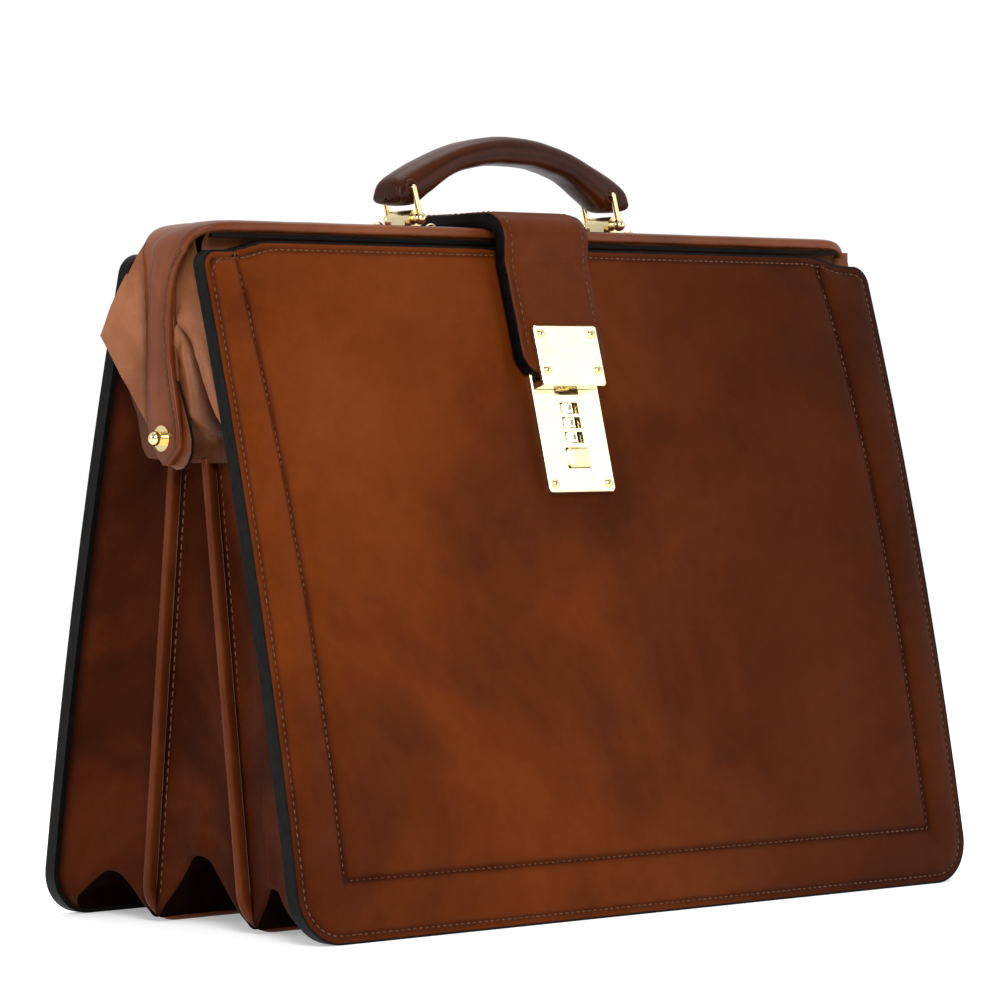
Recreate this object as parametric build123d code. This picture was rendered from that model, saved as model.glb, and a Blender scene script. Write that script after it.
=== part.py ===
from build123d import *
import os
import math

# Leather briefcase of the framed, accordion-gusset kind. Millimetres.
# X runs to the right seen from the front, the front panel faces -Y, +Z is up,
# the bag stands on z = 0 and is centred on the origin.

# ---------------------------------------------------------------- sizes
panel_w = 450.0          # width of both stiff panels
panel_top = 333.0        # height of a panel's top edge
shoulder_drop = 5.0      # how far the outer part of the top edge drops
shoulder_w = 24.0
half_depth_floor = 105.7 # outer face of a panel at the floor
half_depth_mid = 74.4    # at mid height
half_depth_top = 31.7    # at z = 328.5
panel_t = 7.6            # leather and board
lining_t = 1.4
binding_w = 3.2          # black painted edge
corner_r = 24.0
gusset_half_w = 210.0    # bead line of the dividers
divider_top = 222.0
divider_t = 4.0
divider_y_floor = 40.0
divider_y_top = 14.0
jaw_top = 342.0
jaw_bar_t = 5.0
jaw_seam_y = -5.15       # line where the two jaws meet on top
rivet_z = 238.0
hinge_y = 28.0           # leather hinge between panel and jaw
hinge_z = 335.0
strap_x = -14.0
strap_w = 56.0
strap_t = 8.6
lock_z = 238.6
handle_y = 2.0
mount_x_l, mount_x_r = -70.5, 64.5
pin_z = 347.6
ring_h = 16.0
ring_lean = 15.0
ring_r = 1.5

os.makedirs("parts", exist_ok=True)
placed = {}


def save(name, shape):
    shape.label = name
    placed[name] = shape
    export_step(shape, f"parts/{name}.step")


def yz_prism(points, x0, x1):
    # closed outline in Y-Z, extruded along X
    w = Wire.make_polygon([Vector(x0, y, z) for y, z in points], close=True)
    return Solid.extrude(Face(w), Vector(x1 - x0, 0, 0))


def xz_prism(points, y0, y1):
    w = Wire.make_polygon([Vector(x, y0, z) for x, z in points], close=True)
    return Solid.extrude(Face(w), Vector(0, y1 - y0, 0))


def box(x0, x1, y0, y1, z0, z1):
    return Solid.make_box(x1 - x0, y1 - y0, z1 - z0).moved(Location((x0, y0, z0)))


def cyl(radius, a, b):
    a, b = Vector(*a), Vector(*b)
    return Solid.make_cylinder(radius, (b - a).length, Plane(origin=a, z_dir=(b - a)))


def ball(radius, c):
    return Solid.make_sphere(radius, angle1=-90, angle2=90, angle3=360).moved(Location(c))


def one(shape):
    got = shape.solids()
    return got[0] if len(got) == 1 else Compound(children=list(got))


def mirror_y(shape):
    return mirror(shape, about=Plane.XZ)


def mirror_x(shape):
    return mirror(shape, about=Plane.YZ)


# ---------------------------------------------------------------- panels
p_bot = (-half_depth_floor, 0.0)
p_mid = (-half_depth_mid, 164.3)
p_top = (-half_depth_top, 328.5)


def circle3(a, b, c):
    ax, ay = a
    bx, by = b
    cx, cy = c
    d = 2 * (ax * (by - cy) + bx * (cy - ay) + cx * (ay - by))
    ux = ((ax**2 + ay**2) * (by - cy) + (bx**2 + by**2) * (cy - ay) + (cx**2 + cy**2) * (ay - by)) / d
    uy = ((ax**2 + ay**2) * (cx - bx) + (bx**2 + by**2) * (ax - cx) + (cx**2 + cy**2) * (bx - ax)) / d
    return ux, uy, math.hypot(ax - ux, ay - uy)


arc_y, arc_z, arc_r = circle3(p_bot, p_mid, p_top)


def face_y(z, depth=0.0):
    # front panel surface at height z, depth measured inwards
    r = arc_r - depth
    side = -1.0 if arc_y > p_mid[0] else 1.0
    return arc_y + side * math.sqrt(r * r - (z - arc_z) ** 2)


def lean_at(z):
    return math.degrees(math.atan2(face_y(z + 1) - face_y(z - 1), 2.0))


def band(d0, d1, z0=0.0, z1=338.0, x0=-panel_w / 2, x1=panel_w / 2, n=24):
    # curved slab between two depths below the outer face
    zs = [z0 + (z1 - z0) * i / n for i in range(n + 1)]
    pts = [(face_y(z, d0), z) for z in zs] + [(face_y(z, d1), z) for z in reversed(zs)]
    outer = Edge.make_three_point_arc(
        Vector(x0, *pts[0]), Vector(x0, face_y((z0 + z1) / 2, d0), (z0 + z1) / 2), Vector(x0, *pts[n])
    )
    inner = Edge.make_three_point_arc(
        Vector(x0, face_y(z1, d1), z1), Vector(x0, face_y((z0 + z1) / 2, d1), (z0 + z1) / 2), Vector(x0, face_y(z0, d1), z0)
    )
    top = Edge.make_line(outer @ 1, inner @ 0)
    bottom = Edge.make_line(inner @ 1, outer @ 0)
    w = Wire([outer, top, inner, bottom])
    return Solid.extrude(Face(w), Vector(x1 - x0, 0, 0))


def outline(inset=0.0, z_low=0.0):
    # panel outline in X-Z: rounded bottom corners, shouldered top corners
    h = panel_w / 2 - inset
    zt = panel_top - inset
    zs = zt - shoulder_drop
    r = corner_r - inset
    xs = h - shoulder_w
    with BuildSketch(Plane.XZ) as sk:
        with BuildLine():
            l1 = Line((-h + r, z_low + inset), (h - r, z_low + inset))
            a1 = RadiusArc(l1 @ 1, (h, z_low + inset + r), -r)
            l2 = Line(a1 @ 1, (h, zs - 9))
            a2 = RadiusArc(l2 @ 1, (h - 9, zs), -9)
            l3 = Line(a2 @ 1, (xs + 10, zs))
            s1 = Spline(l3 @ 1, (xs - 20, zt), tangents=((-1, 0), (-1, 0)))
            l4 = Line(s1 @ 1, (-xs + 20, zt))
            s2 = Spline(l4 @ 1, (-xs - 10, zs), tangents=((-1, 0), (-1, 0)))
            l5 = Line(s2 @ 1, (-h + 9, zs))
            a3 = RadiusArc(l5 @ 1, (-h, zs - 9), -9)
            l6 = Line(a3 @ 1, (-h, z_low + inset + r))
            RadiusArc(l6 @ 1, l1 @ 0, -r)
        make_face()
    return sk.sketch


def outline_prism(inset):
    f = outline(inset)
    return extrude(f, amount=160, dir=(0, -1, 0), both=False)


prism0 = outline_prism(0.0)
prism1 = outline_prism(binding_w)
prism2 = outline_prism(binding_w + 2.0)
full = band(0.0, panel_t)
front_panel = one(band(0.35, panel_t) & prism1)
front_binding = one((band(0.0, panel_t) & prism0) - prism1)
front_lining = one(band(panel_t + 0.02, panel_t + lining_t) & prism2)
save("front_panel", front_panel)
save("front_binding", front_binding)
save("front_lining", front_lining)
save("back_panel", mirror_y(front_panel))
save("back_binding", mirror_y(front_binding))
save("back_lining", mirror_y(front_lining))

# ---------------------------------------------------------------- dividers
slope = (divider_y_floor - divider_y_top) / divider_top


def div_y(z):
    return divider_y_floor - slope * z


def divider_slab(t):
    pts = [(div_y(0) - t / 2, 0), (div_y(0) + t / 2, 0), (div_y(divider_top) + t / 2, divider_top), (div_y(divider_top) - t / 2, divider_top)]
    return yz_prism(pts, -gusset_half_w, gusset_half_w)


def u_outline(half_w, z0, z1, r):
    with BuildSketch(Plane.XZ) as sk:
        with BuildLine():
            l1 = Line((-half_w + r, z0), (half_w - r, z0))
            a1 = RadiusArc(l1 @ 1, (half_w, z0 + r), -r)
            l2 = Line(a1 @ 1, (half_w, z1))
            l3 = Line(l2 @ 1, (-half_w, z1))
            l4 = Line(l3 @ 1, (-half_w, z0 + r))
            RadiusArc(l4 @ 1, l1 @ 0, -r)
        make_face()
    return extrude(sk.sketch, amount=160, dir=(0, 1, 0)) + extrude(sk.sketch, amount=160, dir=(0, -1, 0))


outer_u = u_outline(gusset_half_w, 0.0, divider_top + 1, 20)
inner_u = u_outline(gusset_half_w - 5.5, 5.5, divider_top + 1, 14.5)
back_divider = one(divider_slab(divider_t) & inner_u)
back_bead = one((divider_slab(6.6) & outer_u) - inner_u)
save("back_divider", back_divider)
save("back_bead", back_bead)
save("front_divider", mirror_y(back_divider))
save("front_bead", mirror_y(back_bead))

# ---------------------------------------------------------------- gusset sections
# each section: two side walls and a pleated floor that folds up between the feet
gx0, gx1 = 205.6, 208.4


def section(ya0, yb0, ya1, yb1, apex_y, apex_z, z_foot, top, apex_top):
    # ya/yb: low-y and high-y limits at the floor and at the top
    def at(z, a0, a1):
        return a0 + (a1 - a0) * z / top

    # every wall and floor is two flat leaves that meet at the fold
    c = 0.02
    halves = []
    for sgn, e0, e1 in ((-1, ya0, ya1), (1, yb0, yb1)):
        halves.append(
            [
                (at(z_foot, e0, e1), z_foot),
                (apex_y + sgn * c, apex_z),
                (apex_top + sgn * c, top),
                (at(top, e0, e1), top),
            ]
        )
    t = 2.6
    leaves = []
    for sgn, e0, e1 in ((-1, ya0, ya1), (1, yb0, yb1)):
        leaves.append(
            [
                (at(z_foot, e0, e1), z_foot),
                (apex_y + sgn * c, apex_z),
                (apex_y + sgn * c, apex_z + t),
                (at(z_foot + t, e0, e1), z_foot + t),
            ]
        )
    return halves, leaves


def build_section(halves, leaves):
    out = []
    for h in halves:
        out.append(yz_prism(h, -gx1, -gx0))
        out.append(yz_prism(h, gx0, gx1))
    for f in leaves:
        out.append(yz_prism(f, -gx0 + 0.05, gx0 - 0.05))
    return Compound(children=out)


g = 0.25
bead = 3.3
gusset_middle = build_section(*section(
    -div_y(0) + bead + g, div_y(0) - bead - g,
    -div_y(divider_top) + bead + g, div_y(divider_top) - bead - g,
    0.0, 33.0, 3.0, divider_top, 0.0,
))
save("gusset_middle", gusset_middle)
panel_in = panel_t + lining_t
# the panel is bowed, so the outer limit of the section follows its inner face
zs = [3.0 + (divider_top - 3.0) * i / 8 for i in range(9)]
fold_y, fold_z, fold_top_y = -66.5, 23.0, -33.5
outer_half = [(face_y(z, panel_in) + 0.8, z) for z in reversed(zs)] + [
    (fold_y - 0.02, fold_z),
    (fold_top_y - 0.02, divider_top),
]
inner_half = [
    (fold_y + 0.02, fold_z),
    (-div_y(3.0) - bead - g, 3.0),
    (-div_y(divider_top) - bead - g, divider_top),
    (fold_top_y + 0.02, divider_top),
]
outer_leaf = [
    (face_y(3.0, panel_in) + 0.8, 3.0),
    (fold_y - 0.02, fold_z),
    (fold_y - 0.02, fold_z + 2.6),
    (face_y(5.6, panel_in) + 0.8, 5.6),
]
inner_leaf = [
    (fold_y + 0.02, fold_z),
    (-div_y(3.0) - bead - g, 3.0),
    (-div_y(5.6) - bead - g, 5.6),
    (fold_y + 0.02, fold_z + 2.6),
]
gusset_front = build_section([outer_half, inner_half], [outer_leaf, inner_leaf])
save("gusset_front", gusset_front)
save("gusset_back", mirror_y(gusset_front))

# ---------------------------------------------------------------- upper wings
# soft leather that closes the ends between a panel and its jaw
wz = [224.0, 250.0, 275.0, 300.0, 318.0]
wing_pts = [(face_y(z, panel_in) + 0.6, z) for z in wz] + [(-16.0, 326.0), (-9.0, 300.0), (-9.0, 262.0), (-14.0, 224.0)]
wing = yz_prism(wing_pts, -215.2, -210.8)
save("wing_front_left", wing)
save("wing_front_right", mirror_x(wing))
save("wing_back_left", mirror_y(wing))
save("wing_back_right", mirror_y(mirror_x(wing)))

# ---------------------------------------------------------------- jaws
arm_out = [
    (7.0, 339.5), (-5.3, 341.0), (-5.3, 342.0), (-26.0, 342.0), (-26.0, 336.6), (-19.5, 335.0), (-16.5, 325.0), (-10.0, 312.0), (-7.0, 298.0),
    (-7.5, 262.0), (-11.0, 250.0), (-11.0, 233.0), (-6.0, 227.0), (4.0, 226.0), (9.0, 230.0),
    (11.0, 245.0), (11.5, 262.0), (10.5, 300.0), (8.5, 330.0),
]
ax_out0, ax_out1 = 220.6, 224.2
ax_in0, ax_in1 = 216.4, 219.9
front_bar = yz_prism(
    [(-26.0, 336.6), (-26.0, 341.0), (-25.0, 342.0), (jaw_seam_y - 0.15, 342.0), (jaw_seam_y - 0.15, 337.0), (-19.5, 336.6)],
    -ax_out1, ax_out1,
)
front_arm_l = yz_prism(arm_out, -ax_out1, -ax_out0)
rivet_hole = cyl(4.6, (-230, 0, rivet_z), (230, 0, rivet_z))
snug_hole = cyl(2.22, (-230, 0, rivet_z), (230, 0, rivet_z))
front_jaw = one(front_bar + front_arm_l + mirror_x(front_arm_l) - snug_hole)
save("front_jaw", front_jaw)

arm_in = [
    (27.0, 342.0), (27.0, 336.6), (19.5, 335.0), (16.5, 325.0), (10.0, 312.0), (7.0, 298.0),
    (8.0, 262.0), (10.5, 250.0), (10.5, 233.0), (6.0, 227.5), (-4.0, 227.5), (-9.0, 231.0),
    (-12.0, 245.0), (-10.5, 262.0), (-10.0, 300.0), (-6.0, 325.0), (-5.0, 336.0), (-5.0, 342.0),
]
back_bar = yz_prism(
    [(26.0, 336.6), (27.0, 337.6), (27.0, 341.0), (26.0, 342.0), (jaw_seam_y + 0.15, 342.0), (jaw_seam_y + 0.15, 337.0)],
    -ax_in1, ax_in1,
)
back_arm_l = yz_prism(arm_in, -ax_in1, -ax_in0)
back_jaw = one(back_bar + back_arm_l + mirror_x(back_arm_l) - rivet_hole)
save("back_jaw", back_jaw)

# steel strips inside the mouth, under each leather bar
save("front_jaw_steel", box(-212, 212, -24.0, -6.4, 334.4, 336.4))
save("back_jaw_steel", box(-212, 212, -3.9, 24.0, 334.4, 336.4))


def rivet_set(s):
    shank = cyl(2.2, (s * 215.0, 0, rivet_z), (s * 224.9, 0, rivet_z))
    washer = cyl(6.3, (s * 224.3, 0, rivet_z), (s * 225.6, 0, rivet_z))
    head = cyl(3.3, (s * 225.5, 0, rivet_z), (s * 228.0, 0, rivet_z)) + ball(3.6, (s * 229.0, 0, rivet_z))
    inner = cyl(7.0, (s * 214.2, 0, rivet_z), (s * 215.9, 0, rivet_z))
    return one(shank + washer + head + inner)


save("hinge_rivets", Compound(children=[rivet_set(-1), rivet_set(1)]))

# ---------------------------------------------------------------- strap
sx0, sx1 = strap_x - strap_w / 2, strap_x + strap_w / 2
s_lo, s_hi = 342.7, 342.7 + strap_t
strap_base = yz_prism([(-3.4, s_lo), (23.5, s_lo), (23.5, s_hi - 1.5), (22.0, s_hi), (-3.4, s_hi)], sx0, sx1)
save("strap_base", strap_base)
# down the outside of the back panel
tail_z = [262.0, 275.0, 290.0, 305.0, 320.0, 329.0]
tail_pts = [(-face_y(z) + 0.15, z) for z in tail_z] + [(32.4, 335.5), (31.0, 343.0), (31.0, 349.0), (33.5, 350.6), (37.5, 348.0)] + [(-face_y(z) + 5.2, z) for z in reversed(tail_z)]
save("strap_tail", yz_prism(tail_pts, sx0, sx1))
bend_y, bend_z = -34.4, 342.9
strap_top = yz_prism([(-3.8, s_lo), (-3.8, s_hi), (bend_y + 1.6, s_hi), (bend_y + 0.3, s_hi - 1.6), (bend_y + 0.3, s_lo)], sx0, sx1)
save("strap_top", strap_top)
# hanging end: follows the panel's lean
n_gap = 1.5
drop_z = [338.0, 320.0, 300.0, 285.0, 268.6]
lean = lean_at(300.0)


def off(z, n):
    # point on the panel's face moved out by n
    a = math.radians(lean_at(z))
    return (min(face_y(z) - n * math.cos(a), bend_y - 0.2 - (n - n_gap)), z + n * math.sin(a))


inner_pts = [off(z, n_gap) for z in drop_z]
outer_pts = [off(z, n_gap + strap_t) for z in drop_z]
inner_top = (bend_y - 0.2, bend_z - 0.5)
outer_top = (bend_y - 0.2 - strap_t * 0.98, bend_z - 0.5)
hang = yz_prism([inner_top] + inner_pts + list(reversed(outer_pts)) + [outer_top], sx0, sx1)
tip_cut = xz_prism([(sx0 - 1, 340), (sx0 - 1, 266), (sx0 + 9, 250), (sx0 - 1, 240)], -120, 0)
strap_end = hang
save("strap_end", strap_end)

# ---------------------------------------------------------------- lock, in the plane of the panel
lock_a = lean_at(lock_z)


def lock_loc(zc, n0=0.0):
    # local frame: x right, y up the panel, z outwards
    y, z = face_y(zc), zc
    a = math.radians(lean_at(zc))
    o = Vector(strap_x, y, z) + Vector(0, -math.cos(a), math.sin(a)) * n0
    return Plane(origin=o, x_dir=(1, 0, 0), z_dir=(0, -math.cos(a), math.sin(a))).location


L = lock_loc(lock_z, 0.04)


def lbox(u0, u1, v0, v1, n0, n1):
    return box(u0, u1, v0, v1, n0, n1)


def rounded_plate(w, h, r, n0, n1, v=0.0, u=0.0):
    with BuildSketch(Plane.XY) as sk:
        with Locations((u, v)):
            RectangleRounded(w, h, r)
    return extrude(sk.sketch, amount=n1 - n0).solids()[0].moved(Location((0, 0, n0)))


def lcyl(r, u, v, n0, n1):
    return Solid.make_cylinder(r, n1 - n0).moved(Location((u, v, n0)))


# the works sit in a pocket of the panel, so only a plate stands proud of it
sunk = -5.2
case_v = 3.75
base = rounded_plate(44, 62, 2.0, 0.0, 1.0) - lbox(-15.3, 15.3, case_v - 24.3, case_v + 24.3, -1, 2)
save("lock_base", base.moved(L))
front_panel = one(front_panel - lbox(-15.4, 15.4, case_v - 24.5, case_v + 24.5, -4.9, 3.0).moved(L))
save("front_panel", front_panel)
body = rounded_plate(44, 62, 2.0, 1.02, 4.6)
body = body.chamfer(0.6, None, body.faces().sort_by(Axis.Z)[-1].edges())
body = body + rounded_plate(30, 48, 1.5, -4.4, 1.6, v=case_v)
dial_v = (12.2, 4.6, -3.0)
for v in dial_v:
    body = body - lbox(-6, 6, v - 2.95, v + 2.95, -3.6, 12)
body = body - Solid.make_cylinder(1.5, 26).moved(Location((0, -8.4, 6.1 + sunk), (-90, 0, 0)))
body = body - lbox(-7.3, 7.3, -15.5 - 3.6, -15.5 + 7.3, -3.6, 12)
body = body - lbox(-8, 8, 19.0, 26.6, -2.2, 12)
body = body - lbox(-14, -7, 21.0, 26.0, -2.2, 2.4)
lock_body = one(body)
save("lock_body", lock_body.moved(L))
rivs = [lcyl(2.3, u, -27.0, 4.62, 5.1) + (ball(3.0, (u, -27.0, 3.2)) & lbox(-30, 30, -40, 0, 5.0, 9)) for u in (-17.8, 17.8)]
save("lock_rivets", Compound(children=[one(r).moved(L) for r in rivs]))
shaft = Solid.make_cylinder(1.48, 25.6).moved(Location((0, -8.2, 6.1 + sunk), (-90, 0, 0)))
save("dial_shaft", shaft.moved(L))
for i, v in enumerate(dial_v):
    wheel = Solid.make_cylinder(4.2, 5.2).moved(Location((0, v - 2.6, 6.1 + sunk), (-90, 0, 0)))
    wheel = wheel - Solid.make_cylinder(1.55, 8).moved(Location((0, v - 4, 6.1 + sunk), (-90, 0, 0)))
    for k in range(10):
        ang = math.radians(18 + 36 * k)
        wheel = wheel - Solid.make_cylinder(0.45, 8).moved(
            Location((4.35 * math.sin(ang), v - 4, 6.1 + sunk + 4.35 * math.cos(ang)), (-90, 0, 0))
        )
    save(f"lock_dial_{i + 1}", one(wheel).moved(L))
btn = rounded_plate(14, 10.3, 1.8, -1.0, 7.4, v=-13.65)
btn = btn.chamfer(1.5, None, btn.faces().sort_by(Axis.Z)[-1].edges())
save("lock_button", btn.moved(L))
save("lock_bolt", lbox(-12.6, -5.4, 21.4, 25.6, -1.8, 2.0).moved(L))

# hasp on the strap's end: a plate with a deep lower lip; its tongue drops into the lock's pocket
hasp_zc = 278.4
H = lock_loc(hasp_zc, n_gap + strap_t + 0.35)
hasp = rounded_plate(42, 31.4, 1.5, 0.0, 2.4, v=-3.8)
hasp = hasp.chamfer(0.6, None, hasp.faces().sort_by(Axis.Z)[-1].edges())
lip = lbox(-20.9, 20.9, -19.3, -16.4, -4.9, 0.6)
save("hasp_plate", one(hasp + lip).moved(H))
hrivs = []
for u in (-17.0, 17.0):
    for v in (-11.6, 7.3):
        hrivs.append(one(lcyl(2.3, u, v, 2.42, 2.9) + (ball(3.0, (u, v, 1.0)) & lbox(-30, 30, -30, 30, 2.8, 8))).moved(H))
save("hasp_rivets", Compound(children=hrivs))
save("hasp_tongue", box(-4, 4, -18.9, -17.0, -10.2, -4.92).moved(H))

# ---------------------------------------------------------------- handle
plates, screws, saddles = [], [], []
hy = handle_y
for mx, xa, xb in ((mount_x_l, -93.0, -48.4), (mount_x_r, 42.0, 87.0)):
    pl = box(xa, xb, hy - 5.5, hy + 5.5, 342.02, 343.6)
    plates.append(pl)
    bore = cyl(2.1, (mx, hy - 20, pin_z), (mx, hy + 20, pin_z))
    barrel = cyl(4.6, (mx, hy - 8.8, pin_z), (mx, hy + 8.8, pin_z))
    foot = box(mx - 4.6, mx + 4.6, hy - 5.5, hy + 5.5, 343.62, pin_z)
    cut_low = box(mx - 9, mx + 9, hy - 30, hy + 30, 330, 343.62)
    saddles.append(one(((barrel + foot) - cut_low) - bore))
    for sx in (xa + 5.0, xb - 5.0):
        screws.append(ball(3.4, (sx, hy, 342.6)) & box(sx - 5, sx + 5, hy - 5, hy + 5, 343.62, 350))
save("handle_plates", Compound(children=plates))
save("handle_saddles", Compound(children=saddles))
save("handle_screws", Compound(children=[one(s) for s in screws]))


def ring(mx):
    h = 12.3
    top = cyl(ring_r, (mx, hy - h, pin_z + ring_h), (mx, hy + h, pin_z + ring_h))
    leg1 = cyl(ring_r, (mx, hy - h, pin_z), (mx, hy - h, pin_z + ring_h))
    leg2 = cyl(ring_r, (mx, hy + h, pin_z), (mx, hy + h, pin_z + ring_h))
    c1 = ball(ring_r, (mx, hy - h, pin_z + ring_h))
    c2 = ball(ring_r, (mx, hy + h, pin_z + ring_h))
    b1 = ball(3.2, (mx, hy - h, pin_z))
    b2 = ball(3.2, (mx, hy + h, pin_z))
    pin = cyl(2.04, (mx, hy - h, pin_z), (mx, hy + h, pin_z))
    r = one(top + leg1 + leg2 + c1 + c2 + b1 + b2 + pin)
    return r.rotate(Axis((mx, hy, pin_z), (0, 1, 0)), -ring_lean)


save("ring_left", ring(mount_x_l))
save("ring_right", ring(mount_x_r))
dx = -ring_h * math.sin(math.radians(ring_lean))
eye_z = pin_z + ring_h * math.cos(math.radians(ring_lean))
eye_l, eye_r = mount_x_l + dx, mount_x_r + dx
hc = -4.7
outer_pts = [(-77.7, 358.6), (-76.8, 365.0), (-70.8, 370.4), (-57.5, 377.6), (-38.5, 385.0), (-19.5, 389.6), (0.0, 391.3),
             (19.5, 389.6), (38.5, 385.0), (57.5, 377.6), (70.8, 370.4), (76.8, 365.0), (77.7, 358.6)]
inner_pts = [(73.5, 354.7), (65.0, 354.6), (59.5, 357.0), (54.5, 362.0), (40.5, 371.2), (21.0, 375.6), (0.0, 376.8),
             (-21.0, 375.6), (-40.5, 371.2), (-54.5, 362.0), (-59.5, 357.0), (-65.0, 354.6), (-73.5, 354.7)]
with BuildSketch(Plane.XZ) as hs:
    with BuildLine():
        sp1 = Spline(*[(x + hc, z) for x, z in outer_pts])
        sp2 = Spline(*[(x + hc, z) for x, z in inner_pts])
        Line(sp1 @ 1, sp2 @ 0)
        Line(sp2 @ 1, sp1 @ 0)
    make_face()
grip = extrude(hs.sketch, amount=10.6, both=True)
grip = grip.solids()[0].moved(Location((0, hy, 0)))
rim = [e for e in grip.edges() if abs(abs(e.center().Y - hy) - 10.6) < 0.2 and e.length > 60]
for radius in (4.0, 3.0, 2.4, 1.8, 1.2):
    try:
        grip = grip.fillet(radius, rim)
        print("grip fillet", radius)
        break
    except Exception:
        continue
grip = grip - cyl(1.58, (eye_l, hy - 20, eye_z), (eye_l, hy + 20, eye_z))
grip = grip - cyl(2.2, (eye_r, hy - 20, eye_z), (eye_r, hy + 20, eye_z))
save("handle_grip", one(grip))
print("eye", eye_l, eye_r, eye_z, "hc", hc)
print("lock L", L, "lean", lock_a)
print("bend", bend_y, bend_z, "hang top", inner_pts[0])
print("arc", arc_y, arc_z, arc_r, "face_y(240)", face_y(240))
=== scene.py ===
import math
import numpy as np
import bpy
from mathutils import Matrix, Vector


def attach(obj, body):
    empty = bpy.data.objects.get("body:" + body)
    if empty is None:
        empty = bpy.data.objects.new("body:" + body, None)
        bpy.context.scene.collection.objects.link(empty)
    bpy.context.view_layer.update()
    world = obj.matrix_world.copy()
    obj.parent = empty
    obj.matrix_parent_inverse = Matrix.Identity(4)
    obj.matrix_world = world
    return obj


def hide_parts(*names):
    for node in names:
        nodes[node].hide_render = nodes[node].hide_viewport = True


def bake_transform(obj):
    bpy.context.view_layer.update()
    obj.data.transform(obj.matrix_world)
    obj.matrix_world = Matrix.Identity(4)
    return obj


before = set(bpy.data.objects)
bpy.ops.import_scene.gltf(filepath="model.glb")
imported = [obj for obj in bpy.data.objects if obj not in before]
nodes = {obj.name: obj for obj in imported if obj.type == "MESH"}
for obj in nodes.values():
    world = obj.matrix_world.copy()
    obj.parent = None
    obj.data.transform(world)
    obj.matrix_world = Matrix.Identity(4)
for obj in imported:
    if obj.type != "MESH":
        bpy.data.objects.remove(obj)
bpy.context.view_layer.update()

MM = 0.001
rng = np.random.default_rng(7)

# ------------------------------------------------------------------ materials
def new_mat(name):
    m = bpy.data.materials.new(name)
    m.use_nodes = True
    nt = m.node_tree
    bsdf = nt.nodes["Principled BSDF"]
    return m, nt, bsdf


def ramp(nt, stops):
    r = nt.nodes.new("ShaderNodeValToRGB")
    el = r.color_ramp.elements
    el[0].position, el[0].color = stops[0][0], (*stops[0][1], 1)
    el[1].position, el[1].color = stops[-1][0], (*stops[-1][1], 1)
    for p, c in stops[1:-1]:
        e = el.new(p)
        e.color = (*c, 1)
    return r


def noise(nt, scale, detail=4.0, rough=0.55, vec=None, distortion=0.0):
    n = nt.nodes.new("ShaderNodeTexNoise")
    n.inputs["Scale"].default_value = scale
    n.inputs["Detail"].default_value = detail
    n.inputs["Roughness"].default_value = rough
    n.inputs["Distortion"].default_value = distortion
    if vec is not None:
        nt.links.new(vec, n.inputs["Vector"])
    return n


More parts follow.
